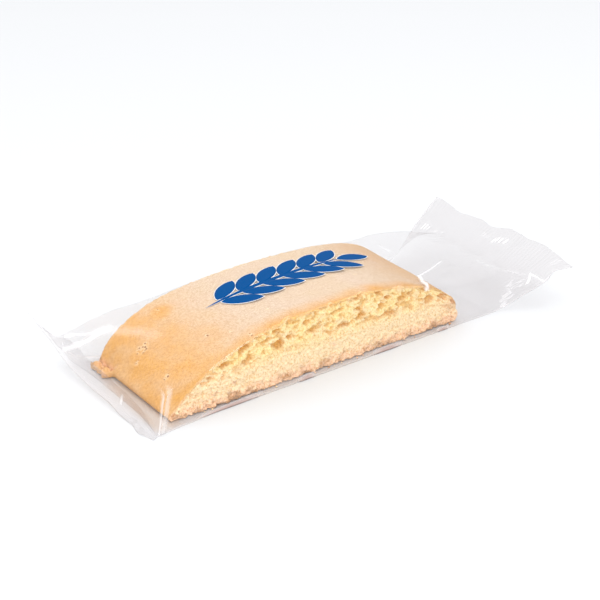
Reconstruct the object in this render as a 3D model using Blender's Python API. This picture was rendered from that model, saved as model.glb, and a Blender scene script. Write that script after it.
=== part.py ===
"""A slice of biscotti sealed in a clear flow-wrap bag. Metres, +Z up.

X runs along the slice, from its low tapered end to its blunt end. Y runs across it, from the cut
face that shows the crumb (-Y) to the hidden cut face (+Y). The origin lies under the middle of
the slice, on the surface that the bag rests on.
"""
import math

import bmesh
import bpy
from mathutils import Vector, noise

MM = 0.001

# The slice: a log of dough about 105 mm wide, baked flat, then cut across into slices
LENGTH = 105 * MM
DEPTH = 40.5 * MM
HEIGHT_FRONT = 19.7 * MM
HEIGHT_BACK = 18.2 * MM
PEAK_X = 9.5 * MM
LOW_END_HEIGHT = 1.6 * MM
BLUNT_END_FRONT = 5.0 * MM
BLUNT_END_BACK = 8.5 * MM
END_BULGE = 0.8 * MM

# Its relief: torn crumb on the cut faces, a gently uneven crust, a lip, and a foot at one corner
CRUMB_DEPTH = 2.0 * MM
CRUMB_GRAIN = 3.6 * MM
CRUST_WAVE = 0.2 * MM
CRUST_GRAIN = 14.0 * MM
LIP_HEIGHT = 0.45 * MM
FOOT_REACH = 1.1 * MM
FOOT_Y = 15.0 * MM
FOOT_WIDTH = 4.5 * MM

# The bag: a tube of film with its ends sealed flat. The film is given a wall that can be made
FILM = 0.5 * MM
FLOOR = 0.4 * MM
GAP = 0.3 * MM
SLACK = 0.4 * MM
FOLD_FRONT_Y = -23.0 * MM
FOLD_BACK_Y = 24.0 * MM
SHOULDER_OUT = 1.1 * MM
FIN_WAVE = 0.7 * MM
FIN_WAVE_PITCH = 14.0 * MM

# The back seam under the bag, where the two edges of the film meet
SEAM_LENGTH = 60 * MM
SEAM_WIDTH = 0.8 * MM
SEAM_Y = 7 * MM
SEAM_CUT = 1.6 * MM

# Rings round the bag: front fold, front shoulder, back shoulder and back fold, each x, y, z in mm
LEFT_SEAL_EDGE = ((-60.5, -25.0, 0.0), (-61.5, -10.0, 0.3), (-60.5, 14.0, 3.0), (-61.5, 32.0, 9.5))
LEFT_SEAL_ROOT = ((-57.0, -24.5, 0.0), (-57.6, -9.0, 0.6), (-57.4, 13.0, 3.4), (-58.2, 30.0, 8.4))
LEFT_SHOULDER = ((-55.8, -23.6, 0.0), (-53.5, -22.4, 11.0), (-52.5, 22.0, 15.4), (-55.8, 25.0, 0.0))
RIGHT_SHOULDER = ((55.0, -23.0, 0.0), (54.5, -21.8, 13.4), (55.0, 22.2, 15.2), (55.0, 24.5, 0.0))
RIGHT_NECK = ((68.5, -23.2, 0.0), (67.5, -19.5, 11.0), (69.0, 21.5, 12.6), (68.0, 26.0, 2.0))
FIN_ROOT = ((79.5, -31.5, 9.6), (79.0, -15.5, 9.2), (79.0, 13.5, 9.0), (79.0, 28.3, 8.6))
FIN_EDGE = ((90.0, -33.5, 13.0), (90.5, -15.0, 14.6), (90.0, 14.0, 15.2), (90.0, 30.0, 16.6))


def mix(a, b, share):
    return a + (b - a) * share


def arch_height(x, y):
    """Height of the crust over the base: a full arch, steep to the low end and blunt at the other."""
    back = min(max(y / DEPTH + 0.5, 0.0), 1.0)
    peak = mix(HEIGHT_FRONT, HEIGHT_BACK, back)
    if x < PEAK_X:
        reach = min((PEAK_X - x) / (PEAK_X + LENGTH / 2), 1.0)
        return LOW_END_HEIGHT + (peak - LOW_END_HEIGHT) * (1 - reach ** 3.0) ** 0.85
    reach = min((x - PEAK_X) / (LENGTH / 2 - PEAK_X), 1.0)
    end = mix(BLUNT_END_FRONT, BLUNT_END_BACK, back)
    return end + (peak - end) * (1 - reach ** mix(2.1, 2.6, back)) ** 0.62


def end_bulge(w):
    """How far the rounded ends stand out at share w of their height."""
    return END_BULGE * math.sin(math.pi * w)


def along_slice(u):
    """x at share u of the length, with closer steps at the two ends."""
    even = u - 0.5
    close_at_ends = -0.5 * math.cos(math.pi * u)
    return LENGTH * mix(even, close_at_ends, 0.5)


def slice_point(u, v, w):
    """A point of the slice: u along it, v from the front cut face to the back one, w upward."""
    x = along_slice(u)
    y = (v - 0.5) * DEPTH
    z = w * arch_height(x, y)
    if u in (0.0, 1.0):
        x += math.copysign(end_bulge(w), x)
    if u == 0.0:
        x -= FOOT_REACH * (1 - w) * math.exp(-((y - FOOT_Y) / FOOT_WIDTH) ** 2)
    z += w * CRUST_WAVE * noise.noise(Vector((x, y, 0)) / CRUST_GRAIN)
    if v in (0.0, 1.0):
        torn = noise.noise(Vector((x, 9 * y, z)) / CRUMB_GRAIN)
        depth = CRUMB_DEPTH * (0.35 + 0.65 * torn) * mix(0.45, 1.0, w)
        y -= math.copysign(max(depth, 0.0), y)
        if w == 1.0:
            z += LIP_HEIGHT * max(noise.noise(Vector((x, y, 5.0)) / CRUMB_GRAIN), 0.0)
    return Vector((x, y, FLOOR + GAP + z))


def pocket_point(u, v, w):
    """A point of the pocket that the slice lies in, which clears all its relief."""
    grow = GAP + SLACK
    x = along_slice(u)
    y = (v - 0.5) * DEPTH
    z = w * (arch_height(x, y) + GAP + grow)
    if u in (0.0, 1.0):
        x += math.copysign(end_bulge(w) + grow, x)
    if u == 0.0:
        x -= FOOT_REACH
    y += (v - 0.5) * 2 * GAP
    return Vector((x, y, FLOOR + z))


def ring_over_slice(x):
    """The bag's ring where the film lies over the slice."""
    shoulder = DEPTH / 2 + SHOULDER_OUT
    clear = FLOOR + 2 * GAP + SLACK
    return (
        Vector((x, FOLD_FRONT_Y, 0)),
        Vector((x, -shoulder, arch_height(x, -DEPTH / 2) + clear)),
        Vector((x, shoulder, arch_height(x, DEPTH / 2) + clear)),
        Vector((x, FOLD_BACK_Y, 0)),
    )


def rings_between(start, end, count):
    """count rings from start up to, and without, end."""
    return [
        tuple(a.lerp(b, step / count) for a, b in zip(start, end))
        for step in range(count)
    ]


def bag_rings():
    """Every ring of the bag from left to right, each with how flat it is, from 0 to 1."""
    left = (LEFT_SEAL_EDGE, LEFT_SEAL_ROOT, LEFT_SHOULDER)
    right = (RIGHT_SHOULDER, RIGHT_NECK, FIN_ROOT, FIN_EDGE)
    edge, root, low, high, neck, fin, tip = [
        tuple(Vector(point) * MM for point in ring) for ring in left + right
    ]
    over = [ring_over_slice(x * MM) for x in range(-40, 45, 4)]
    stages = (
        (edge, root, 2, 1.0, 1.0),
        (root, low, 2, 1.0, 0.0),
        (low, over[0], 3, 0.0, 0.0),
        *((a, b, 1, 0.0, 0.0) for a, b in zip(over, over[1:])),
        (over[-1], high, 3, 0.0, 0.0),
        (high, neck, 3, 0.0, 0.0),
        (neck, fin, 4, 0.0, 1.0),
        (fin, tip, 4, 1.0, 1.0),
    )
    rings = []
    for start, end, count, flat_start, flat_end in stages:
        for step, ring in enumerate(rings_between(start, end, count)):
            rings.append((ring, mix(flat_start, flat_end, step / count)))
    rings.append((tip, 1.0))
    return rings


RINGS = bag_rings()
SIDE_SHARE = 0.25


def bag_point(u, v, w):
    """A point of the bag: u along it, v round its ring from front to back, w below or above."""
    (front, front_shoulder, back_shoulder, back), flat = RINGS[round(u * (len(RINGS) - 1))]
    if v < SIDE_SHARE:
        top = front.lerp(front_shoulder, v / SIDE_SHARE)
    elif v > 1 - SIDE_SHARE:
        top = back.lerp(back_shoulder, (1 - v) / SIDE_SHARE)
    else:
        top = front_shoulder.lerp(back_shoulder, (v - SIDE_SHARE) / (1 - 2 * SIDE_SHARE))
    upper = w > 0.5
    point = top if upper else front.lerp(back, v).lerp(top, flat)
    fin_root, fin_tip = FIN_ROOT[0][0] * MM, FIN_EDGE[0][0] * MM
    ripple = max((point.x - fin_root) / (fin_tip - fin_root), 0.0)
    rise = FIN_WAVE * ripple * math.sin(2 * math.pi * point.y / FIN_WAVE_PITCH)
    return point + Vector((0, 0, rise + (FILM if upper else 0.0)))


def seam_point(u, v, w):
    """A corner of the slit that the back seam leaves in the bag's underside."""
    return Vector((
        (u - 0.5) * SEAM_LENGTH,
        SEAM_Y + (v - 0.5) * SEAM_WIDTH,
        (w - 0.5) * SEAM_CUT,
    ))


def shaped_box(name, cells, place, collection):
    """A cube split into cells along x, y and z, with every corner moved to where place puts it."""
    bm = bmesh.new()
    bmesh.ops.create_cube(bm, size=1.0)
    for axis, count in enumerate(cells):
        whole = [e for e in bm.edges if abs(e.verts[0].co[axis] - e.verts[1].co[axis]) > 0.99]
        if count > 1:
            bmesh.ops.subdivide_edges(bm, edges=whole, cuts=count - 1, use_grid_fill=True)
    for vert in bm.verts:
        shares = [round((vert.co[axis] + 0.5) * cells[axis]) / cells[axis] for axis in range(3)]
        vert.co = place(*shares)
    floor = min(vert.co.z for vert in bm.verts)
    flat = [f for f in bm.faces if all(abs(vert.co.z - floor) < 0.01 * MM for vert in f.verts)]
    bmesh.ops.dissolve_faces(bm, faces=flat, use_verts=False)
    mesh = bpy.data.meshes.new(name)
    bm.to_mesh(mesh)
    bm.free()
    mesh.shade_smooth()
    mesh.set_sharp_from_angle(angle=math.radians(50))
    thing = bpy.data.objects.new(name, mesh)
    collection.objects.link(thing)
    return thing


def finish(thing, colour, roughness, alpha=1.0):
    """Gives a piece its own plain material."""
    material = bpy.data.materials.new(thing.name)
    material.use_nodes = True
    shader = material.node_tree.nodes["Principled BSDF"]
    shader.inputs["Base Color"].default_value = (*colour, 1.0)
    shader.inputs["Roughness"].default_value = roughness
    shader.inputs["Metallic"].default_value = 0.0
    shader.inputs["Alpha"].default_value = alpha
    thing.data.materials.append(material)


def cut(thing, cutter):
    """Takes the cutter out of a piece, and hides the cutter."""
    modifier = thing.modifiers.new(cutter.name, "BOOLEAN")
    modifier.operation = "DIFFERENCE"
    modifier.object = cutter
    cutter.hide_render = True
    cutter.display_type = "WIRE"


for old in list(bpy.data.objects):
    bpy.data.objects.remove(old, do_unlink=True)
parts = bpy.data.collections.new("wrapped_biscotti")
cutters = bpy.data.collections.new("cutters")
for group in (parts, cutters):
    bpy.context.scene.collection.children.link(group)

biscotti = shaped_box("biscotti", (56, 12, 8), slice_point, parts)
finish(biscotti, (0.78, 0.53, 0.29), 0.8)

bag = shaped_box("bag", (len(RINGS) - 1, 16, 1), bag_point, parts)
finish(bag, (0.93, 0.93, 0.95), 0.12, alpha=0.3)

pocket = shaped_box("pocket", (30, 4, 3), pocket_point, cutters)
cut(bag, pocket)

seam = shaped_box("seam", (1, 1, 1), seam_point, cutters)
cut(bag, seam)
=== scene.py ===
import functools
import math
import random

import bmesh
import bpy
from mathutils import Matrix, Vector, noise


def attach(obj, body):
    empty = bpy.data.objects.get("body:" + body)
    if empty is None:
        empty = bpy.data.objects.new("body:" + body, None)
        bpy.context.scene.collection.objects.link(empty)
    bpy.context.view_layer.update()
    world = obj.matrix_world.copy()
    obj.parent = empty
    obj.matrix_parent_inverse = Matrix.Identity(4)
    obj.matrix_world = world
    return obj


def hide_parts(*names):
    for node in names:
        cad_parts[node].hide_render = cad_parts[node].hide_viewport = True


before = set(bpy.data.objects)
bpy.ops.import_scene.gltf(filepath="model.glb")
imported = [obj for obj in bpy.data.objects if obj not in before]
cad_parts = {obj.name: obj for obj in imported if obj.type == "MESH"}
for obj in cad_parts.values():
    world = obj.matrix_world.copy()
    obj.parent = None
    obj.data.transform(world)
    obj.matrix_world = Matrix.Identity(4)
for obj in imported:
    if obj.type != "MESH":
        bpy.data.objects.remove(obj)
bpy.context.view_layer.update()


# The set
# The bag lies on a sheet of white card under broad, soft studio light. A camera with a portrait
# lens looks down on it from the front left, as in the photograph.
MM = 0.001
CAMERA_AZIMUTH = -37.49
CAMERA_ELEVATION = 24.76
CAMERA_DISTANCE = 452.05 * MM
CAMERA_LENS = 85
CAMERA_AIM = Vector((23.92, 21.18, 0.0)) * MM
CARD_SIZE = 6.0
CARD_WHITE = (0.650, 0.659, 0.674)
SKY_BRIGHT_SIDE = Vector((0.1, 0.57, 0.81))
SKY_DARK, SKY_BRIGHT = 0.55, 1.75


def direction(azimuth, elevation):
    """The direction to a place seen at that azimuth and elevation, in degrees."""
    turn, rise = math.radians(azimuth), math.radians(elevation)
    return Vector((
        math.sin(turn) * math.cos(rise),
        -math.cos(turn) * math.cos(rise),
        math.sin(rise),
    ))


def new_material(name):
    """An empty node material, with its node tree."""
    material = bpy.data.materials.new(name)
    material.use_nodes = True
    return material, material.node_tree


def softbox(name, azimuth, elevation, distance, width, height, watts):
    """A rectangular studio light that faces the bag."""
    bpy.ops.object.light_add(type="AREA")
    lamp = bpy.context.object
    lamp.name = name
    lamp.data.shape = "RECTANGLE"
    lamp.data.size = width
    lamp.data.size_y = height
    lamp.data.energy = watts
    towards = direction(azimuth, elevation)
    lamp.location = towards * distance
    lamp.rotation_mode = "QUATERNION"
    lamp.rotation_quaternion = towards.to_track_quat("Z", "Y")
    return lamp


bpy.ops.object.camera_add()
camera = bpy.context.object
camera.data.lens = CAMERA_LENS
camera.data.sensor_width = 36
camera.data.clip_start = 0.01
towards_camera = direction(CAMERA_AZIMUTH, CAMERA_ELEVATION)
camera.location = CAMERA_AIM + towards_camera * CAMERA_DISTANCE
camera.rotation_mode = "QUATERNION"
camera.rotation_quaternion = (-towards_camera).to_track_quat("-Z", "Y")
bpy.context.scene.camera = camera

bpy.context.scene.view_settings.view_transform = "Standard"
sky = bpy.data.worlds.new("studio")
sky.use_nodes = True
sky_nodes, sky_links = sky.node_tree.nodes, sky.node_tree.links
sky_place = sky_nodes.new("ShaderNodeTexCoord")
sky_height = sky_nodes.new("ShaderNodeVectorMath")
sky_height.operation = "DOT_PRODUCT"
sky_height.inputs[1].default_value = SKY_BRIGHT_SIDE
sky_range = sky_nodes.new("ShaderNodeMapRange")
sky_range.inputs["From Min"].default_value = -0.1
sky_range.inputs["To Min"].default_value = SKY_DARK
sky_range.inputs["To Max"].default_value = SKY_BRIGHT
sky_links.new(sky_place.outputs["Object"], sky_height.inputs[0])
sky_links.new(sky_height.outputs["Value"], sky_range.inputs["Value"])
sky_links.new(sky_range.outputs[0], sky_nodes["Background"].inputs["Strength"])
sky_nodes["Background"].inputs["Color"].default_value = (1.0, 1.0, 1.0, 1.0)
bpy.context.scene.world = sky

softbox("top_light", -25, 76, 1.0, 0.55, 0.42, 2.3)
softbox("front_light", -25, 20, 1.1, 0.7, 0.7, 6.7)

bpy.ops.mesh.primitive_plane_add(size=CARD_SIZE, location=(0, 0, -0.05 * MM))
card = bpy.context.object
card.name = "card"
card_material, tree = new_material("white_card")
tree.nodes["Principled BSDF"].inputs["Base Color"].default_value = (*CARD_WHITE, 1.0)
tree.nodes["Principled BSDF"].inputs["Roughness"].default_value = 0.9
tree.nodes["Principled BSDF"].inputs["Specular IOR Level"].default_value = 0.0
card.data.materials.append(card_material)


# The slice of biscotti
# A log of egg dough is baked on a tray, cut across while warm, and baked again. The crust is thin,
# smooth and matte; the cut faces are open yellow crumb above and denser cream crumb below, and the
# foot that lay on the tray is toasted and crumbly.
LENGTH = 105.0
DEPTH = 40.5
HEIGHT_FRONT = 19.3
HEIGHT_BACK = 18.2
PEAK_X = 9.5
LOW_END_FRONT_X = -51.5
LOW_END_BACK_X = -50.0
LOW_END_HEIGHT = 0.6
BLUNT_END_FRONT = 5.0
BLUNT_END_BACK = 8.5
LIFT = 0.35
CELLS_ALONG = (20, 20)
CELLS_ACROSS = (8, 8)
CELLS_UP = (10, 7)
CRUST_THICKNESS = 0.6
PIT_DEPTH = 1.25
UPPER_CRUMB = (0.36, 0.62)
BIG_PORE = 3.3
SMALL_PORE = 1.5
CRUMB_CELL = 1.1
BULGE_TO_HEIGHT = 4.0
BULGE_REACH = 1.4
FOOT_FROM_Y = 11.0
FOOT_HEIGHT = 1.9
FOOT_REACH = 2.9
LEDGE = 1.3
GOLD_AT_LOW_END = (-16, -44)
GOLD_AT_BLUNT_END = (24, 46)
GOLD_AT_FRONT_EDGE = (-12.5, -20.0)
FLAKE_REACH = 2.0
BASE_ROLL = (4.2, 0.6)
BASE_TOAST = (3.9, 1.0)
END_TOAST = (7.0, 1.0)
# Pores of the front cut face: x, z, half length and half height, in mm.
PORES = (
    (-26.2, 14.4, 1.5, 1.0), (-33.2, 11.0, 2.0, 0.8), (-3.2, 12.6, 2.3, 0.8), (-10.9, 13.4, 1.3, 0.7),
    (-15.8, 16.4, 1.2, 0.8), (8.5, 10.9, 2.6, 0.6), (22.8, 13.4, 1.3, 1.0), (31.0, 13.2, 1.8, 0.9),
    (14.0, 14.8, 1.1, 0.7), (-38.6, 8.6, 1.2, 0.6),
)
# Scorched clumps of the front cut face: x, z and size, in mm.
SCORCHED = ((-37.1, 2.9, 1.5), (4.9, 6.4, 0.9), (-30.5, 5.2, 0.7))
# Small burst bubbles of the crust: x, y and size, in mm.
POCKS = (
    (-43.4, 6.4, 1.9), (-46.8, 4.2, 0.7), (-33.0, 15.0, 0.8), (-25.7, -12.0, 0.8), (-23.3, -18.1, 0.8),
    (-31.0, -7.5, 0.7), (-12.0, -10.5, 0.7), (33.5, 8.0, 0.8), (-45.5, -9.0, 0.9), (-8.0, 9.0, 0.6),
    (24.0, -6.0, 0.7),
)
# Browner spots of the crust: x, y and size, in mm, and strength.
GOLD_SPOTS = (
    (-33.0, 13.5, 4.6, 1.3), (-44.0, -14.0, 5.0, 0.6), (-37.0, -17.0, 3.5, 0.7), (-46.5, 3.0, 3.5, 0.5),
)
# Flakes of crust that stand up at the cut: x, rise and width, in mm.
FLAKES = ((-12.2, 1.5, 1.4), (-33.5, 0.6, 0.9), (3.0, 0.6, 1.1), (14.5, 0.8, 1.0), (29.0, 0.5, 1.4))


def mix(a, b, share):
    return a + (b - a) * share


def ease(low, high, value):
    """0 below low, 1 above high, and smooth between them."""
    share = min(max((value - low) / (high - low), 0.0), 1.0)
    return share * share * (3 - 2 * share)


def rough(x, y, z, size):
    """Smooth noise from -1 to 1 with lumps about size apart, in mm."""
    return noise.noise(Vector((x, y, z)) / size)


def low_end_x(y):
    """Where the slice's low end stands, in mm."""
    return mix(LOW_END_FRONT_X, LOW_END_BACK_X, min(max(y / DEPTH + 0.5, 0.0), 1.0))


def crust_height(x, y):
    """Height of the crust over the base, in mm."""
    back = min(max(y / DEPTH + 0.5, 0.0), 1.0)
    peak = mix(HEIGHT_FRONT, HEIGHT_BACK, back)
    if x < PEAK_X:
        reach = min((PEAK_X - x) / (PEAK_X - low_end_x(y)), 1.0)
        fall = (1 - reach ** mix(3.0, 3.3, back)) ** mix(0.85, 0.6, back)
        return LOW_END_HEIGHT + (peak - LOW_END_HEIGHT) * fall
    reach = min((x - PEAK_X) / (LENGTH / 2 - PEAK_X), 1.0)
    end = mix(BLUNT_END_FRONT, BLUNT_END_BACK, back)
    return end + (peak - end) * (1 - reach ** mix(2.1, 2.6, back)) ** 0.62


def deselect_all():
    bpy.ops.object.select_all(action="DESELECT")


def take(thing):
    """Makes one object the only one selected, and active."""
    deselect_all()
    thing.select_set(True)
    bpy.context.view_layer.objects.active = thing


def cut_into(thing, axis, cuts):
    """Cuts all edges that run along an axis into cells, in several rounds."""
    take(thing)
    for cells in cuts:
        bpy.ops.object.mode_set(mode="EDIT")
        bpy.ops.mesh.select_mode(type="EDGE")
        bpy.ops.mesh.select_all(action="DESELECT")
        shape = bmesh.from_edit_mesh(thing.data)
        for edge in shape.edges:
            run = edge.verts[1].co - edge.verts[0].co
            edge.select_set(abs(run[axis]) > 0.99 * run.length)
        bmesh.update_edit_mesh(thing.data)
        bpy.ops.mesh.subdivide(number_cuts=cells - 1)
        bpy.ops.object.mode_set(mode="OBJECT")


def add_marks(thing, *names):
    """Adds a value for each point under every name, and returns the lists of values."""
    for name in names:
        thing.data.attributes.new(name, "FLOAT", "POINT")
    return [thing.data.attributes[name].data for name in names]


def torn_crumb(x, z, up, face):
    """Depth of the torn crumb under the knife's plane, in mm, and how far it lies in a pore."""
    warp = 0.9 * rough(x, face, z, 2.2) + 0.45 * rough(x, face, z, 0.9)
    upper = ease(*UPPER_CRUMB, up + 0.14 * rough(x, face, 0, 7.0))
    big = ease(0.16, 0.40, rough(x + warp, face * 3, z * 1.5 - warp, BIG_PORE)) * upper
    small = ease(0.14, 0.40, rough(x + warp, 5 + face, z * 1.3, SMALL_PORE)) * mix(0.45, 1.0, upper)
    cell = Vector((x + warp, 4 * face, z * 1.1 - warp)) / CRUMB_CELL
    near, beyond = noise.voronoi(cell)[0][:2]
    seam = ease(0.30, 0.04, beyond - near)
    if face < 0:
        for pore_x, pore_z, long, tall in PORES:
            reach = ((x + warp - pore_x) / long) ** 2 + ((z + 0.8 * warp - pore_z) / tall) ** 2
            big = max(big, 1.2 * math.exp(-reach ** 1.5))
    grain = 0.30 * rough(x, face, z, 0.85) + 0.22 * rough(x, face, z, 0.45)
    swell = 0.30 * rough(x, 7 * face, z, 2.8)
    depth = PIT_DEPTH * big + 0.55 * small + 0.22 * seam + 0.15 * near + grain + swell
    return depth, min(0.85 * big ** 1.5 + 0.6 * small * (0.3 + 0.7 * upper) + 0.15 * seam, 1.0)


def foot_at(x, y):
    """How far the crumbly foot of the low end shows at a place, 0 to 1."""
    return ease(FOOT_FROM_Y, FOOT_FROM_Y + 1.5, y + 0.8 * rough(x, y, 0, 2.5)) * (x < 0)


def shape_slice(thing):
    """Moves the corners of a fine box to the form of the slice, and marks crumb, pits and toast.

    u, v and w run from 0 to 1 along the slice, across it and up it; the rest is in mm.
    """
    crumb, pit, toast, bake, pock = add_marks(thing, "crumb", "pit", "toast", "bake", "pock")
    for vert in thing.data.vertices:
        u, v, w = (round(share, 5) + 0.5 for share in vert.co)
        even, close_at_ends = u - 0.5, -0.5 * math.cos(math.pi * u)
        y = (v - 0.5) * DEPTH
        x = mix(low_end_x(y), LENGTH / 2, mix(even, close_at_ends, 0.5) + 0.5)
        foot = foot_at(x, y)
        from_end = x - low_end_x(y) if x < 0 else LENGTH / 2 - x
        if foot > 0 and from_end < LEDGE:
            out = mix(from_end, FOOT_REACH * (from_end / LEDGE - 1), foot)
            ledge = FOOT_HEIGHT * (0.85 + 0.35 * rough(x, y, 1, 2.2) + 0.25 * rough(x * 3, y, 2, 0.9))
            top = mix(crust_height(x, y), ledge * ease(0.0, 0.35, from_end + 0.2), foot)
            x = low_end_x(y) + out * (1 + 0.25 * rough(0, y, 3, 2.0) + 0.2 * rough(0, y, 5, 0.8))
        else:
            x -= foot * LEDGE * ease(6.0, LEDGE, from_end)
            top = crust_height(x, y)
        z = w * top
        bulge = math.sin(math.pi * min(z / BULGE_TO_HEIGHT, 1.0)) * math.exp(-from_end / BULGE_REACH)
        x += math.copysign(bulge, x) * (1 - foot)
        on_foot = foot * ease(LEDGE + 0.5, LEDGE - 0.1, from_end)
        crevice = foot * math.exp(-((from_end - LEDGE - 0.1) / 0.4) ** 2) * w

        z += w * (0.28 * rough(x, y, 0, 15.0) + 0.07 * rough(x, y, 0, 5.0))
        z += w * 0.035 * rough(x, y, z, 1.3)
        z += w * on_foot * (0.8 * rough(x, y, 6, 1.3) + 0.5 * rough(x, y, 8, 0.7)) - 0.5 * crevice
        # The foot's pit colour is its own brown; in the crevice, pit and toast colour are painted shade.
        crumb_here, pit_here = 0.35 * on_foot, max(0.9 * on_foot, crevice)
        toast_here = max(on_foot * ease(-0.2, 0.4, rough(x, y, z, 1.1)) * 0.5, 0.8 * crevice)
        for spot_x, spot_y, size in POCKS:
            off = ((x - spot_x) ** 2 + (y - spot_y) ** 2) / size ** 2
            pock[vert.index].value = max(pock[vert.index].value, math.exp(-off))
        golden = ease(*GOLD_AT_LOW_END, x + 3 * rough(x, y, 4, 9.0)) + 0.6 * ease(*GOLD_AT_BLUNT_END, x)
        golden = max(golden, on_foot, ease(*GOLD_AT_FRONT_EDGE, y + 2 * rough(x, y, 6, 6.0)))
        for spot_x, spot_y, size, share in GOLD_SPOTS:
            off = ((x - spot_x) ** 2 + (y - spot_y) ** 2 * 0.7) / size ** 2
            golden = max(golden, share * math.exp(-off))
        bake[vert.index].value = min(golden, 1.0)
        side = -1 if v < 0.5 else 1
        from_face = DEPTH / 2 - abs(y)
        to_crust = top - z
        if from_face < FLAKE_REACH and w > 0.5:
            for flake_x, flake_rise, flake_width in FLAKES:
                lift = math.exp(-((x - flake_x) / flake_width) ** 2) * ease(FLAKE_REACH, 0.0, from_face)
                lift *= ease(FLAKE_REACH, 0.0, to_crust) * (side < 0)
                z += flake_rise * lift
                toast_here = max(toast_here, 0.5 * lift)
        if from_face < 0.001:
            lip = ease(CRUST_THICKNESS * 1.6, CRUST_THICKNESS * 0.4, to_crust)
            depth, pore = torn_crumb(x, z, w, side)
            base = ease(*BASE_ROLL, z + 0.9 * rough(x, side, 1, 4.0))
            near = noise.voronoi(Vector((x, side * 9, z)) / 2.1)[0][0]
            depth -= base * (0.95 - 1.1 * near + 0.3 * rough(x, side, z, 1.0))
            ragged = 0.8 * rough(x, side, 8, 1.3) + 0.5 * rough(x, side, 2, 0.6) - 0.1
            depth = mix(depth, ragged * (1.0 if side < 0 else 0.4), lip)
            flaky = 0.45 * max(rough(x, side, 5, 1.1), 0.0) + 0.25 * rough(x, side, 4, 0.6)
            z += lip * flaky * (1.0 if side < 0 else 0.3)
            depth *= ease(-0.5, 2.0, from_end)
            y -= side * depth
            crumb_here = 1 - 0.7 * lip
            pit_here = pore * (1 - lip)
            for spot_x, spot_z, size in SCORCHED:
                off = (x - spot_x) ** 2 + (z - spot_z) ** 2
                scorch = math.exp(-off / size ** 2) * ease(-0.4, 0.2, rough(x, 3, z, 1.1))
                toast_here = max(toast_here, scorch * (side < 0))
            toast_here = max(toast_here, 0.35 * lip * ease(-0.1, 0.4, rough(x, side, 6, 0.9)))
            wavering = 1.5 * rough(x, side, z, 2.2) + 0.8 * rough(x, side, z, 0.9)
            edge_toast = ease(*BASE_TOAST, z + wavering)
            end_toast = ease(*END_TOAST, from_end + 2.5 * rough(x, side, z, 3.5)) * (x > 0)
            toast_here = max(0.8 * edge_toast, 0.4 * end_toast, toast_here)
        crumb[vert.index].value = crumb_here
        pit[vert.index].value = pit_here
        toast[vert.index].value = toast_here
        vert.co = Vector((x, y, LIFT + max(z, 0.0))) * MM


bpy.ops.mesh.primitive_cube_add(size=1.0)
biscotti = bpy.context.object
biscotti.name = "biscotti_slice"
for axis, cuts in enumerate((CELLS_ALONG, CELLS_ACROSS, CELLS_UP)):
    cut_into(biscotti, axis, cuts)
shape_slice(biscotti)
take(biscotti)
bpy.ops.object.mode_set(mode="EDIT")
bpy.ops.mesh.select_mode(type="FACE")
bpy.ops.mesh.select_all(action="DESELECT")
shape = bmesh.from_edit_mesh(biscotti.data)
for face in shape.faces:
    face.select_set(all(vert.co.z < (LIFT + 0.001) * MM for vert in face.verts))
bmesh.update_edit_mesh(biscotti.data)
bpy.ops.mesh.dissolve_faces()
bpy.ops.object.mode_set(mode="OBJECT")
bpy.ops.object.shade_smooth()


def noise_at(tree, place, scale, detail=2.0, roughness=0.5):
    """A noise texture on Object coordinates; returns its value socket."""
    texture = tree.nodes.new("ShaderNodeTexNoise")
    texture.inputs["Scale"].default_value = scale
    texture.inputs["Detail"].default_value = detail
    texture.inputs["Roughness"].default_value = roughness
    tree.links.new(place, texture.inputs["Vector"])
    return texture.outputs["Fac"]


def ramp(tree, value, *stops):
    """A colour ramp over a value; each stop is a place and a colour or grey."""
    made = tree.nodes.new("ShaderNodeValToRGB")
    band = made.color_ramp
    while len(band.elements) < len(stops):
        band.elements.new(0.5)
    for element, (place, colour) in zip(band.elements, stops):
        element.position = place
        element.color = (*colour, 1.0) if isinstance(colour, tuple) else (colour, colour, colour, 1.0)
    tree.links.new(value, made.inputs["Fac"])
    return made.outputs["Color"]


def blend(tree, share, a, b, mode="MIX"):
    """Mixes two colours; each is a socket or a tuple, and share a socket or a number."""
    made = tree.nodes.new("ShaderNodeMix")
    made.data_type = "RGBA"
    made.blend_type = mode
    for socket, value in ((made.inputs[0], share), (made.inputs[6], a), (made.inputs[7], b)):
        if isinstance(value, bpy.types.NodeSocket):
            tree.links.new(value, socket)
        elif isinstance(value, tuple):
            socket.default_value = (*value, 1.0)
        else:
            socket.default_value = value
    return made.outputs[2]


def sum_of(tree, operation, a, b):
    """A Math node over two sockets or numbers."""
    made = tree.nodes.new("ShaderNodeMath")
    made.operation = operation
    for socket, value in zip(made.inputs, (a, b)):
        if isinstance(value, bpy.types.NodeSocket):
            tree.links.new(value, socket)
        else:
            socket.default_value = value
    return made.outputs[0]


def attribute(tree, name):
    """The value of a point attribute of the mesh."""
    made = tree.nodes.new("ShaderNodeAttribute")
    made.attribute_name = name
    return made.outputs["Fac"]


def object_place(tree):
    return tree.nodes.new("ShaderNodeTexCoord").outputs["Object"]


CRUST_PEACH = (0.68, 0.535, 0.375)
CRUST_GOLD = (0.71, 0.375, 0.09)
CRUST_PALE = (0.69, 0.545, 0.42)
CRUMB_CREAM = (0.95, 0.78, 0.51)
CRUMB_YELLOW = (0.99, 0.80, 0.39)
# Pore, foot and crevice colours: partly the crumb's own gold and brown, partly painted shade.
PIT_GOLD_AND_SHADE = (0.70, 0.38, 0.07)
LOW_PIT_BROWN_AND_SHADE = (0.80, 0.52, 0.27)
TOAST_PINK = (0.93, 0.62, 0.42)
TOAST_BROWN = (0.50, 0.25, 0.12)
# Painted shade in the crust's pinholes.
PINHOLE_SHADE = (0.33, 0.14, 0.05)
# Painted shade that darkens the crust towards the blunt end, and the x in metres where it sets in.
BLUNT_END_SHADE = (0.85, 0.84, 0.84)
BLUNT_END_SHADE_X = (0.018, 0.046)
YELLOW_FROM_Z = (0.0065, 0.0115)
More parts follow.
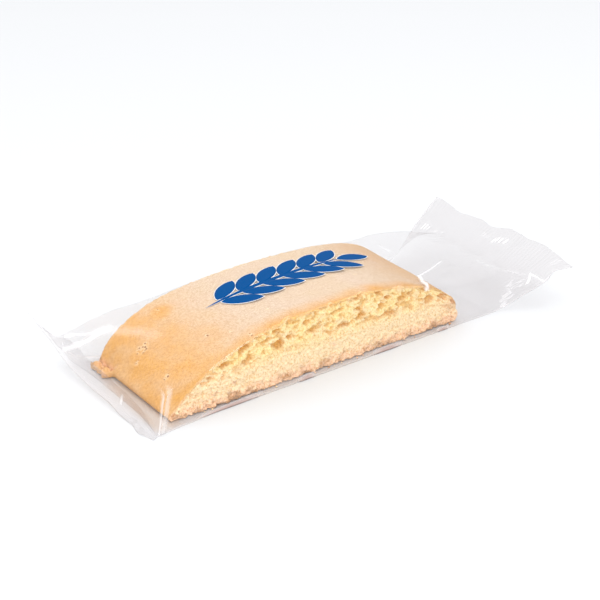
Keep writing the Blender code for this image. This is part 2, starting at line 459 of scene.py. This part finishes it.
# Scales of the noise in the crust and crumb, in lumps to a metre.
MOTTLE_SCALE = 90
PATCH_SCALE = 160
SPECK_SCALE = 1500
PIN_SCALE = 900
CLOUD_SCALE = 230
TOAST_SCALE = 420
RELIEF_SCALE = 1700
RELIEF_DEPTH = 0.00013
DARK_SPECK = (0.86, 0.76, 0.65)
DARK_GRAIN = (0.82, 0.66, 0.44)


def biscuit_material():
    """Matte crust, torn crumb and toast, laid over each other by the marks on the mesh."""
    material, tree = new_material("baked_biscuit")
    shader = tree.nodes["Principled BSDF"]
    place = object_place(tree)
    split = tree.nodes.new("ShaderNodeSeparateXYZ")
    tree.links.new(place, split.inputs[0])

    mottle = ramp(tree, noise_at(tree, place, MOTTLE_SCALE, 3), (0.35, 0.0), (0.68, 1.0))
    crust = blend(tree, mottle, CRUST_PEACH, CRUST_PALE)
    patchy = ramp(tree, noise_at(tree, place, PATCH_SCALE, 4), (0.3, 0.65), (0.65, 1.0))
    golden = sum_of(tree, "MULTIPLY", attribute(tree, "bake"), patchy)
    crust = blend(tree, golden, crust, CRUST_GOLD)
    # Painted shade: the crust darkens towards the blunt end.
    blunt_end_shade = tree.nodes.new("ShaderNodeMapRange")
    tree.links.new(split.outputs["X"], blunt_end_shade.inputs["Value"])
    blunt_end_shade.inputs["From Min"].default_value = BLUNT_END_SHADE_X[0]
    blunt_end_shade.inputs["From Max"].default_value = BLUNT_END_SHADE_X[1]
    crust = blend(tree, blunt_end_shade.outputs[0], crust, BLUNT_END_SHADE, "MULTIPLY")
    specks = noise_at(tree, place, SPECK_SCALE, 3, 0.7)
    speckle = ramp(tree, specks, (0.35, DARK_SPECK), (0.61, 1.05))
    crust = blend(tree, 1.0, crust, speckle, "MULTIPLY")
    cells = tree.nodes.new("ShaderNodeTexVoronoi")
    cells.inputs["Scale"].default_value = PIN_SCALE
    tree.links.new(place, cells.inputs["Vector"])
    dot = ramp(tree, cells.outputs["Distance"], (0.24, 1.0), (0.36, 0.0))
    halo = ramp(tree, cells.outputs["Distance"], (0.34, 0.0), (0.46, 1.0), (0.66, 0.0))
    # Each pinhole has a pale rim and a dark dot of painted shade, and the bump dents it.
    spotted = ramp(tree, attribute(tree, "pock"), (0.25, 0.0), (0.5, 1.0))
    hole = sum_of(tree, "MULTIPLY", dot, spotted)
    pale_rim = sum_of(tree, "MULTIPLY", sum_of(tree, "MULTIPLY", halo, spotted), 0.6)
    crust = blend(tree, pale_rim, crust, CRUMB_CREAM)
    crust = blend(tree, hole, crust, PINHOLE_SHADE)

    # Pores and the crevice: partly the crumb's own colour, partly painted shade in the hollows.
    pit = attribute(tree, "pit")
    above = tree.nodes.new("ShaderNodeMapRange")
    tree.links.new(split.outputs["Z"], above.inputs["Value"])
    above.inputs["From Min"].default_value = YELLOW_FROM_Z[0]
    above.inputs["From Max"].default_value = YELLOW_FROM_Z[1]
    cloudy = ramp(tree, noise_at(tree, place, CLOUD_SCALE, 3, 0.6), (0.36, 0.25), (0.6, 1.0))
    yellow = sum_of(tree, "MULTIPLY", above.outputs[0], cloudy)
    crumb = blend(tree, yellow, CRUMB_CREAM, CRUMB_YELLOW)
    hollow = blend(tree, above.outputs[0], LOW_PIT_BROWN_AND_SHADE, PIT_GOLD_AND_SHADE)
    crumb = blend(tree, pit, crumb, hollow)
    grains = noise_at(tree, place, SPECK_SCALE, 4, 0.75)
    grains = ramp(tree, grains, (0.37, DARK_GRAIN), (0.53, 1.06))
    crumb = blend(tree, 1.0, crumb, grains, "MULTIPLY")
    toasted = noise_at(tree, place, TOAST_SCALE, 3, 0.6)
    toasted = ramp(tree, toasted, (0.38, TOAST_BROWN), (0.5, TOAST_PINK))
    toasted = blend(tree, 1.0, toasted, grains, "MULTIPLY")

    colour = blend(tree, attribute(tree, "crumb"), crust, crumb)
    colour = blend(tree, attribute(tree, "toast"), colour, toasted)
    tree.links.new(colour, shader.inputs["Base Color"])
    shader.inputs["Roughness"].default_value = 0.82
    shader.inputs["Specular IOR Level"].default_value = 0.25

    bump = tree.nodes.new("ShaderNodeBump")
    bump.inputs["Strength"].default_value = 0.8
    bump.inputs["Distance"].default_value = RELIEF_DEPTH
    relief = noise_at(tree, place, RELIEF_SCALE, 4, 0.65)
    relief = sum_of(tree, "SUBTRACT", relief, sum_of(tree, "MULTIPLY", hole, 1.2))
    tree.links.new(relief, bump.inputs["Height"])
    tree.links.new(bump.outputs["Normal"], shader.inputs["Normal"])
    return material


biscuit = biscuit_material()
biscotti.data.materials.append(biscuit)
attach(biscotti, "root")
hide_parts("biscotti")


# The crumbs
# Bits of toasted crumb, a fraction of a millimetre to a millimetre across, that have broken off
# the cut face and lie loose on the film in front of the slice.
CRUMB_SPOTS = (((-48, 50), (-21.5, -20.9), 16),)
CRUMB_SIZES = (0.15, 0.4)

random.seed(11)
crumb_bits = []
for along, across, count in CRUMB_SPOTS:
    for _ in range(count):
        size = mix(*CRUMB_SIZES, random.random() ** 2)
        spot = Vector((random.uniform(*along), random.uniform(*across), 0.12 + 0.6 * size))
        bpy.ops.mesh.primitive_ico_sphere_add(subdivisions=2, radius=size * MM, location=spot * MM)
        bit = bpy.context.object
        for vert in bit.data.vertices:
            lump = noise.noise(vert.co / (size * MM) * 1.3 + spot)
            vert.co *= 1 + 0.55 * lump
            vert.co.z *= 0.75
        crumb_bits.append(bit)
deselect_all()
for bit in crumb_bits:
    bit.select_set(True)
bpy.context.view_layer.objects.active = crumb_bits[0]
bpy.ops.object.join()
crumbs = bpy.context.object
crumbs.name = "crumbs"
bpy.ops.object.transform_apply(location=True, rotation=True, scale=True)
bpy.ops.object.shade_smooth()
crumb, toast = add_marks(crumbs, "crumb", "toast")
for vert in crumbs.data.vertices:
    crumb[vert.index].value = 1.0
    toast[vert.index].value = ease(-0.2, 0.3, rough(*(vert.co / MM), 2.5))
crumbs.data.materials.append(biscuit)
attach(crumbs, "root")


# The bag
# A tube of clear polypropylene film, about 0.03 mm thick, formed round the slice on a flow-wrap
# machine and heat-sealed flat at both ends. The right-hand seal stands up as a crimped, wavy fin;
# the left-hand one lies on the table and curls up at its far end.
FILM_ROWS = 190
FILM_COLUMNS = 200
FILM_LENGTH = 152.0
FILM_WIDTH = 64.0
FILM_GAP = 0.12
FILM_TOUCH = 0.5
FOLD_FRONT_Y = -23.0
FOLD_BACK_Y = 24.0
SIDE_SHARE = 0.25
CORNER_SHARE = 0.03
FOLD_SHARE = 0.012
# Two white lines along the front-left crease, as shares of the length: painted highlight on whitened
# film.
CREASE_HIGHLIGHT_LINES = (0.120, 0.134)
LEFT_NECK_X = (-44, -51)
RIGHT_NECK_X = (43, 54)
RIPPLE_PITCH = 2.1
WAVE_PITCH = 17.0
# The folds of the film, from the front one over both shoulders to the back one, in mm.
SEAL_EDGE = ((-60.3, -25.4, 0.1), (-60.7, -12.0, 0.3), (-60.2, 29.0, 7.1), (-62.4, 38.5, 14.0))
SEAL_ROOT = ((-59.0, -24.8, 0.1), (-57.3, -11.5, 0.7), (-58.8, 27.5, 7.6), (-59.6, 31.0, 9.0))
LEFT_SHOULDER = ((-58.2, -24.4, 0.1), (-53.4, -22.6, 11.6), (-50.8, 22.8, 16.1), (-56.4, 26.0, 0.1))
RIGHT_SHOULDER = ((55.0, -23.0, 0.1), (54.5, -21.6, 13.0), (55.0, 22.2, 15.3), (55.0, 24.5, 0.1))
RIGHT_NECK = ((68.5, -23.1, 0.1), (67.5, -19.0, 11.2), (69.0, 21.5, 13.2), (68.0, 26.0, 1.5))
FIN_ROOT = ((79.7, -31.5, 9.7), (79.0, -15.5, 10.0), (79.0, 13.5, 11.2), (79.0, 28.3, 10.4))
FIN_EDGE = ((90.0, -33.5, 13.1), (90.6, -15.0, 16.4), (90.0, 14.0, 15.1), (90.0, 30.1, 16.9))
CRIMP_PITCH = 1.25
FILM_CLEAR = (0.959, 0.951, 0.952)
FIN_CLEAR = (0.925, 0.913, 0.914)
VEIL_WHITE = (0.90, 0.89, 0.90)
# Painted reflection of the browned base in the front fold.
REFLECTED_BASE_BROWN = (0.42, 0.26, 0.22)
# Brownish tint of the under sheet over the floor beside the low end.
LOW_END_TINT = (1.0, 0.93, 0.86)
CRIMP_DEPTH = 0.000025
# Stretches of x, in mm, where a painted reflection of the browned base lies on the front fold.
BASE_REFLECTION_SPANS = ((-44.2, -23.2), (-10.5, -4.2), (16.8, 28.6), (42.6, 47.5))
# Buckles: from and to as x and mm across the film, width and height in mm. The first two fade out
# over the slice.
LEFT_BUCKLES = (((-47, 22), (-59, 34), 1.0, 0.5), ((-47, 40), (-55, 43), 2.0, -0.7))
BUCKLES = (
    ((-40, 42), (-32, 29), 1.6, 0.35), ((39, 16.5), (60, 24), 0.7, 0.45),
    ((39.3, 15.0), (43.5, 22.4), 0.7, 0.35),
)
# Painted highlights: from and to as share of the length and mm across the film, width in mm, strength.
PAINTED_HIGHLIGHT_LINES = (
    ((0.612, 15.0), (0.620, 18.5), 0.50, 0.95), ((0.620, 18.5), (0.636, 22.4), 0.40, 0.9),
    ((0.636, 22.4), (0.727, 27.3), 0.25, 0.45), ((0.850, 3.9), (0.881, 7.1), 0.35, 0.8),
    ((0.881, 7.1), (0.873, 0.6), 0.35, 0.7), ((0.932, 29.6), (0.946, 29.3), 0.28, 0.8),
    ((0.936, 28.2), (0.952, 27.9), 0.28, 0.8), ((0.936, 26.6), (0.952, 26.3), 0.28, 0.8),
    ((0.938, 24.4), (0.956, 24.0), 0.34, 0.9), ((0.860, 49.6), (0.873, 49.5), 0.30, 0.7),
    ((0.864, 52.5), (0.873, 52.4), 0.28, 0.5), ((0.868, 57.2), (0.880, 57.0), 0.26, 0.6),
    ((0.868, 58.7), (0.884, 58.5), 0.26, 0.7), ((0.868, 60.1), (0.886, 59.9), 0.26, 0.7),
    ((0.034, 20.7), (0.052, 22.6), 0.35, 0.6),
    ((0.665, 36.0), (0.672, 43.0), 0.30, 0.25), ((0.815, 24.0), (0.868, 8.0), 0.25, 0.3),
    ((0.060, 48.0), (0.072, 47.0), 0.60, 0.8), ((0.036, 45.3), (0.076, 43.9), 0.55, 0.9),
    ((0.076, 43.9), (0.118, 42.6), 0.40, 0.75), ((0.112, 43.3), (0.138, 42.3), 0.70, 0.9),
    ((0.072, 47.0), (0.112, 43.8), 0.25, 0.45), ((0.045, 47.3), (0.036, 45.5), 0.25, 0.5),
    ((0.142, 41.8), (0.176, 36.4), 1.70, 0.17), ((0.176, 36.4), (0.190, 33.6), 2.10, 0.13),
    ((0.000, 54.0), (0.000, 64.0), 0.50, 0.5), ((0.000, 64.0), (0.040, 64.0), 0.40, 0.5),
    ((0.940, 33.5), (0.952, 33.3), 0.22, 0.4), ((0.944, 36.0), (0.958, 35.8), 0.22, 0.4),
)


def vectors(ring):
    return tuple(Vector(point) for point in ring)


def ring_over_slice(x):
    """The four folds of the film where it lies over the slice."""
    shoulder = DEPTH / 2 + 0.7
    rise = LIFT + FILM_TOUCH
    tent = mix(15.6, 17.6, (x + 52.5) / 30.0) if x < -20 else 0.0
    return (
        Vector((x, FOLD_FRONT_Y, 0.1)),
        Vector((x, -shoulder, crust_height(x, -shoulder) + rise)),
        Vector((x, shoulder, max(crust_height(x, shoulder) + rise, tent))),
        Vector((x, FOLD_BACK_Y, 0.1)),
    )


FILM_KEYS = [
    (0.0, vectors(SEAL_EDGE), 1.0),
    (0.05, vectors(SEAL_ROOT), 1.0),
    (0.13, vectors(LEFT_SHOULDER), 0.0),
]
for step in range(21):
    FILM_KEYS.append((mix(0.21, 0.62, step / 20), ring_over_slice(-39 + 4 * step), 0.0))
FILM_KEYS += [
    (0.70, vectors(RIGHT_SHOULDER), 0.0),
    (0.78, vectors(RIGHT_NECK), 0.0),
    (0.87, vectors(FIN_ROOT), 1.0),
    (1.0, vectors(FIN_EDGE), 1.0),
]


def straight_ring(u):
    """The film's folds at share u of its length, straight between the rings given above."""
    for (start, ring_a, flat_a), (end, ring_b, flat_b) in zip(FILM_KEYS, FILM_KEYS[1:]):
        if u <= end:
            share = (u - start) / (end - start)
            return [a.lerp(b, share) for a, b in zip(ring_a, ring_b)], mix(flat_a, flat_b, share)
    return list(FILM_KEYS[-1][1]), 1.0


@functools.lru_cache(maxsize=None)
def film_ring(u, reach=0.012):
    """The film's folds at u, eased over reach where they change direction."""
    reach = min(reach, u, 1 - u)
    rings = [straight_ring(u + step * reach) for step in (-1, 0, 1)]
    folds = [sum((ring[i] for ring, _ in rings), Vector()) / 3 for i in range(4)]
    return folds, sum(flat for _, flat in rings) / 3


def across_film(folds, v):
    """The point at share v of the way from the front fold to the back one, round both shoulders."""
    front, front_shoulder, back_shoulder, back = folds

    def straight(v):
        if v < SIDE_SHARE:
            return front.lerp(front_shoulder, v / SIDE_SHARE)
        if v > 1 - SIDE_SHARE:
            return back.lerp(back_shoulder, (1 - v) / SIDE_SHARE)
        return front_shoulder.lerp(back_shoulder, (v - SIDE_SHARE) / (1 - 2 * SIDE_SHARE))

    for corner, point in ((SIDE_SHARE, front_shoulder), (1 - SIDE_SHARE, back_shoulder)):
        if abs(v - corner) < CORNER_SHARE:
            share = (v - corner) / (2 * CORNER_SHARE) + 0.5
            before, after = straight(corner - CORNER_SHARE), straight(corner + CORNER_SHARE)
            return before.lerp(point, share).lerp(point.lerp(after, share), share)
    return straight(v)


def ridge(x, y, start, end, width):
    """1 on the line from start to end, falling to 0 about width away from it."""
    line = Vector(end) - Vector(start)
    to_point = Vector((x, y)) - Vector(start)
    share = to_point.dot(line) / line.length_squared
    off = (to_point - line * min(max(share, 0.0), 1.0)).length
    return math.exp(-(off / width) ** 2)


def film_swell(point, v):
    """How far the film stands out from its plain form: buckles, ripples and crimps, in mm."""
    x, y, z = point
    across = v * FILM_WIDTH
    left, right = ease(*LEFT_NECK_X, x), ease(*RIGHT_NECK_X, x)
    loose = max(left, right)
    swell = 0.10 * rough(x, across, 4, 11.0)
    swell += loose * (0.55 * rough(x * 0.45, across, 7, 7.0) + 0.18 * rough(x * 0.4, across, 9, 2.8))
    for start, end, width, height in LEFT_BUCKLES:
        swell += height * ridge(x, across, start, end, width) * left
    for start, end, width, height in BUCKLES:
        swell += height * ridge(x, across, start, end, width)
    fin = ease(74, 81, x)
    ripple = ease(50, 66, x) * (1 - 0.4 * fin)
    swell += ripple * 0.06 * math.sin(2 * math.pi * across / RIPPLE_PITCH + 2 * rough(x, across, 1, 9.0))
    edge = ease(80, 90, x)
    swell += edge * 0.55 * math.sin(2 * math.pi * (across - 6) / WAVE_PITCH)
    swell += edge * 0.35 * rough(0, across, 2, 4.0)
    dash = max(rough(0, across, 5, 0.9) - 0.25, 0.0) * math.exp(-((x - 84) / 2.2) ** 2)
    swell += 0.5 * dash
    seal = ease(-56.5, -58.5, x)
    swell += seal * 0.12 * rough(x, across, 3, 1.6)
    return swell


def film_point(u, v, upper):
    """A point of the film, in mm: on the sheet over the slice, or the one under it."""
    folds, flat = film_ring(u)
    soft_folds, _ = film_ring(u, 0.045)
    softness = ease(0.24, 0.4, v) * ease(0.0, 0.06, u) * ease(0.5, 0.3, u)
    top = across_film(folds, v).lerp(across_film(soft_folds, v), softness)
    fin_bite = math.sin(math.pi * ease(79.5, 90.5, top.x)) * ease(0.14, 0.0, v)
    top.y += 2.2 * fin_bite
    lean = math.pi * mix(ease(0.17, 0.33, v) + ease(0.67, 0.83, v), 1.0, flat) / 2
    outward = Vector((0, -math.cos(lean), math.sin(lean)))
    rim = min(ease(0, FOLD_SHARE, v), ease(1, 1 - FOLD_SHARE, v))
    fold_free = mix(rim, 1.0, flat)
    crease = math.exp(-((u - 0.128) / 0.005) ** 2) * ease(0.33, 0.22, v)
    between = min(max((v - SIDE_SHARE) / (1 - 2 * SIDE_SHARE), 0.0), 1.0)
    top.z -= 1.9 * math.sin(math.pi * between ** 1.8) * ease(0.13, 0.05, u)
    corner_swell = math.exp(-(u / 0.03) ** 2) * math.exp(-((v - 0.1) / 0.06) ** 2)
    top.x -= 1.2 * corner_swell
    raised = top + outward * film_swell(top, v) * fold_free + Vector((-0.6, -0.8, 0)) * crease * rim
    raised.z = max(raised.z, 0.1)
    if upper:
        return raised
    chord = folds[0].lerp(folds[3], v)
    under = chord.lerp(raised, flat)
    under.z -= FILM_GAP * rim * min(ease(0, 0.01, u), ease(1, 0.99, u)) * flat
    under.z = max(under.z, 0.0)
    return raised.lerp(under, rim)


def film_sheet(name, upper):
    """A fine grid laid out as one sheet of the film."""
    bpy.ops.mesh.primitive_grid_add(x_subdivisions=FILM_ROWS, y_subdivisions=FILM_COLUMNS, size=1.0)
    sheet = bpy.context.object
    sheet.name = name
    crease, seal, across, crimp, painted_highlight, base_reflection, low_end_tint = add_marks(
        sheet, "crease", "seal", "across", "crimp", "painted_highlight", "base_reflection", "low_end_tint",
    )
    for vert in sheet.data.vertices:
        u, v = round(vert.co.x + 0.5, 6), round(vert.co.y + 0.5, 6)
        across[vert.index].value = v * FILM_WIDTH
        crimp[vert.index].value = 0.35 * ease(0.62, 0.70, u) + 0.65 * ease(0.80, 0.88, u)
        point = film_point(u, v, upper)
        fold = max(ease(FOLD_SHARE, 0.0, v), ease(1 - FOLD_SHARE, 1.0, v))
        # White along the folds and the front-left crease: partly whitened film, partly painted
        # highlight.
        corner = max(math.exp(-((u - line) / 0.0035) ** 2) for line in CREASE_HIGHLIGHT_LINES)
        corner *= ease(0.30, 0.2, v)
        crease[vert.index].value = max(0.6 * fold, 1.25 * corner * upper)
        here = (u * FILM_LENGTH, v * FILM_WIDTH)
        # Painted highlights: white lines laid on the upper sheet.
        for start, end, width, strength in PAINTED_HIGHLIGHT_LINES if upper else ():
            start, end = (start[0] * FILM_LENGTH, start[1]), (end[0] * FILM_LENGTH, end[1])
            shine = strength * ridge(*here, start, end, width)
            painted_highlight[vert.index].value = max(painted_highlight[vert.index].value, shine)
        seal[vert.index].value = ease(0.06, 0.045, u)
        # The under sheet is tinted browner beside the slice's low end.
        near_end = ease(-58.5, -55.5, point.x) * ease(-48, -51, point.x) * ease(-25, -21, point.y)
        low_end_tint[vert.index].value = 0.0 if upper else near_end * ease(11, 5, point.y)
        # Painted reflection of the browned base, in thin strips along the front fold.
        for start, end in BASE_REFLECTION_SPANS:
            share = min(max((point.x - start) / (end - start), 0.0), 1.0)
            thin = ease(0.026, 0.014, v) * math.sqrt(math.sin(math.pi * share))
            base_reflection[vert.index].value = max(base_reflection[vert.index].value, 0.85 * thin)
        vert.co = point * MM
    return sheet


film = film_sheet("film", True)
under_sheet = film_sheet("film_under", False)
deselect_all()
under_sheet.select_set(True)
film.select_set(True)
bpy.context.view_layer.objects.active = film
bpy.ops.object.join()
bpy.ops.object.mode_set(mode="EDIT")
bpy.ops.mesh.select_all(action="SELECT")
bpy.ops.mesh.remove_doubles(threshold=0.002 * MM)
bpy.ops.mesh.normals_make_consistent(inside=False)
bpy.ops.object.mode_set(mode="OBJECT")
bpy.ops.object.shade_smooth()


def film_material():
    """Clear gloss film, veiled white where sealed or creased, with painted highlights and reflections.
    """
    material, tree = new_material("clear_film")
    veil = tree.nodes["Principled BSDF"]
    # The veil turns brown where the painted reflection of the base lies.
    veil_colour = blend(tree, attribute(tree, "base_reflection"), VEIL_WHITE, REFLECTED_BASE_BROWN)
    tree.links.new(veil_colour, veil.inputs["Base Color"])
    veil.inputs["Roughness"].default_value = 0.25
    wave = sum_of(tree, "MULTIPLY", attribute(tree, "across"), 2 * math.pi / CRIMP_PITCH)
    wave = sum_of(tree, "SINE", wave, 0.0)
    wave = sum_of(tree, "MULTIPLY", wave, attribute(tree, "crimp"))
    clear = tree.nodes.new("ShaderNodeBsdfTransparent")
    fin = ramp(tree, attribute(tree, "crimp"), (0.4, 0.0), (1.0, 1.0))
    tint = blend(tree, fin, FILM_CLEAR, FIN_CLEAR)
    # Painted shade along the crimps: the tint darkens a little on one side of each rib.
    rib_shade = sum_of(tree, "ADD", sum_of(tree, "MULTIPLY", wave, 0.5), 0.5)
    rib_shade = ramp(tree, rib_shade, (0.0, 0.972), (1.0, 1.0))
    tint = blend(tree, 1.0, tint, rib_shade, "MULTIPLY")
    # Browner tint beside the low end.
    tint = blend(tree, attribute(tree, "low_end_tint"), tint, LOW_END_TINT, "MULTIPLY")
    tree.links.new(tint, clear.inputs["Color"])
    gloss = tree.nodes.new("ShaderNodeBsdfGlossy")
    gloss.inputs["Roughness"].default_value = 0.07
    grazing = tree.nodes.new("ShaderNodeLayerWeight")
    grazing.inputs["Blend"].default_value = 0.5
    mirror = sum_of(tree, "POWER", grazing.outputs["Facing"], 5.0)
    mirror = sum_of(tree, "MULTIPLY", mirror, 0.4)
    mirror = sum_of(tree, "ADD", mirror, 0.045)
    off_folds = sum_of(tree, "SUBTRACT", 1.0, attribute(tree, "crease"))
    mirror = sum_of(tree, "MULTIPLY", mirror, off_folds)
    shine = tree.nodes.new("ShaderNodeMixShader")
    tree.links.new(mirror, shine.inputs["Fac"])
    tree.links.new(clear.outputs[0], shine.inputs[1])
    tree.links.new(gloss.outputs[0], shine.inputs[2])

    bump = tree.nodes.new("ShaderNodeBump")
    bump.inputs["Strength"].default_value = 1.0
    bump.inputs["Distance"].default_value = CRIMP_DEPTH
    tree.links.new(wave, bump.inputs["Height"])
    for shader in (gloss, veil, grazing):
        tree.links.new(bump.outputs["Normal"], shader.inputs["Normal"])

    haze = sum_of(tree, "MULTIPLY", attribute(tree, "seal"), 0.08)
    haze = sum_of(tree, "ADD", haze, 0.012)
    # White along folds and creases: partly whitened film, partly painted highlight.
    white_line = sum_of(tree, "MULTIPLY", attribute(tree, "crease"), 0.45)
    haze = sum_of(tree, "ADD", haze, white_line)
    # The painted highlights and the painted reflection of the base raise the veil to their own strength.
    haze = sum_of(tree, "MAXIMUM", haze, attribute(tree, "painted_highlight"))
    haze = sum_of(tree, "MAXIMUM", haze, attribute(tree, "base_reflection"))
    whole = tree.nodes.new("ShaderNodeMixShader")
    tree.links.new(haze, whole.inputs["Fac"])
    tree.links.new(shine.outputs[0], whole.inputs[1])
    tree.links.new(veil.outputs[0], whole.inputs[2])
    tree.links.new(whole.outputs[0], tree.nodes["Material Output"].inputs["Surface"])
    return material


film.data.materials.append(film_material())
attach(film, "root")
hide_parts("bag")


# The print
# A sprig of grain in one blue ink over a thin white underprint, on the film over the crust. The
# film is printed flat before it is wrapped, so the sprig follows its curve and runs a little askew.
PRINT_BLUE = (0.0, 0.062, 0.225)
PRINT_WHITE = (0.85, 0.84, 0.83)
PRINT_CENTRE = Vector((6.0, 4.8))
PRINT_TURN = math.radians(3)
STEM_FROM, STEM_TO = -30.0, 22.0
STEM_WIDTH = 1.8
GRAIN_LENGTH = 12.5
GRAIN_WIDTH = 5.2
GRAIN_STEP = 7.8
GRAIN_PAIRS = 6
GRAIN_FROM_STEM = 0.9
GRAIN_TILT = math.radians(32)
UNDERPRINT = 0.25
WHITE_LIFT, BLUE_LIFT = 0.03, 0.06
INK_THICKNESS = 0.02


def printed_leaf(start, turn, length, width, grow, lift, material):
    """A pointed leaf laid on the film; start is its stalk end in the print's own plane, in mm."""
    bpy.ops.mesh.primitive_grid_add(x_subdivisions=16, y_subdivisions=6, size=1.0)
    leaf = bpy.context.object
    for vert in leaf.data.vertices:
        along, side = vert.co.x + 0.5, vert.co.y * 2
        half = (width / 2 + grow) * (1 - (2 * along - 1) ** 2) ** 0.75
        flat = Vector((mix(-grow, length + grow, along), side * half))
        flat = Vector(start) + Vector((
            flat.x * math.cos(turn) - flat.y * math.sin(turn),
            flat.x * math.sin(turn) + flat.y * math.cos(turn),
        ))
        x = PRINT_CENTRE.x + flat.x * math.cos(PRINT_TURN) - flat.y * math.sin(PRINT_TURN)
        y = PRINT_CENTRE.y + flat.x * math.sin(PRINT_TURN) + flat.y * math.cos(PRINT_TURN)
        _, place, normal, _ = film.ray_cast(Vector((x, y, 60)) * MM, Vector((0, 0, -1)))
        vert.co = place + normal * lift * MM
    leaf.data.materials.append(material)
    return leaf


def worn_ink_group():
    """Ink with fine lighter and darker specks, where it took unevenly on the film."""
    group = bpy.data.node_groups.new("worn_ink", "ShaderNodeTree")
    group.interface.new_socket("Ink", in_out="INPUT", socket_type="NodeSocketColor")
    group.interface.new_socket("Worn ink", in_out="OUTPUT", socket_type="NodeSocketColor")
    given, made = group.nodes.new("NodeGroupInput"), group.nodes.new("NodeGroupOutput")
    specks = ramp(group, noise_at(group, object_place(group), 2500, 2), (0.3, 0.94), (0.7, 1.03))
    worn = blend(group, 1.0, given.outputs["Ink"], specks, "MULTIPLY")
    group.links.new(worn, made.inputs["Worn ink"])
    return group


def ink(name, colour, worn_ink):
    """A matte ink of one colour."""
    material, tree = new_material(name)
    shader = tree.nodes["Principled BSDF"]
    worn = tree.nodes.new("ShaderNodeGroup")
    worn.node_tree = worn_ink
    worn.inputs["Ink"].default_value = (*colour, 1.0)
    tree.links.new(worn.outputs["Worn ink"], shader.inputs["Base Color"])
    shader.inputs["Roughness"].default_value = 0.6
    shader.inputs["Specular IOR Level"].default_value = 0.02
    return material


worn_ink = worn_ink_group()
blue_ink = ink("blue_ink", PRINT_BLUE, worn_ink)
white_ink = ink("white_underprint", PRINT_WHITE, worn_ink)
leaves = []
for layer_grow, layer_lift, layer_ink in (
    (UNDERPRINT, WHITE_LIFT, white_ink),
    (0.0, BLUE_LIFT, blue_ink),
):
    layer = (layer_grow, layer_lift, layer_ink)
    leaves.append(printed_leaf((STEM_FROM, 0), 0, STEM_TO - STEM_FROM, STEM_WIDTH, *layer))
    leaves.append(printed_leaf((STEM_TO - 1.5, 0), 0, GRAIN_LENGTH, GRAIN_WIDTH, *layer))
    for pair in range(GRAIN_PAIRS):
        root = STEM_FROM + 5 + pair * GRAIN_STEP
        for side in (-1, 1):
            leaves.append(printed_leaf(
                (root, side * GRAIN_FROM_STEM), side * GRAIN_TILT, GRAIN_LENGTH, GRAIN_WIDTH, *layer,
            ))
deselect_all()
for leaf in leaves:
    leaf.select_set(True)
bpy.context.view_layer.objects.active = leaves[0]
bpy.ops.object.join()
sprig = bpy.context.object
sprig.name = "printed_sprig"
thickness = sprig.modifiers.new("ink_thickness", "SOLIDIFY")
thickness.thickness = INK_THICKNESS * MM
bpy.ops.object.modifier_apply(modifier="ink_thickness")
bpy.ops.object.shade_smooth()
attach(sprig, "root")
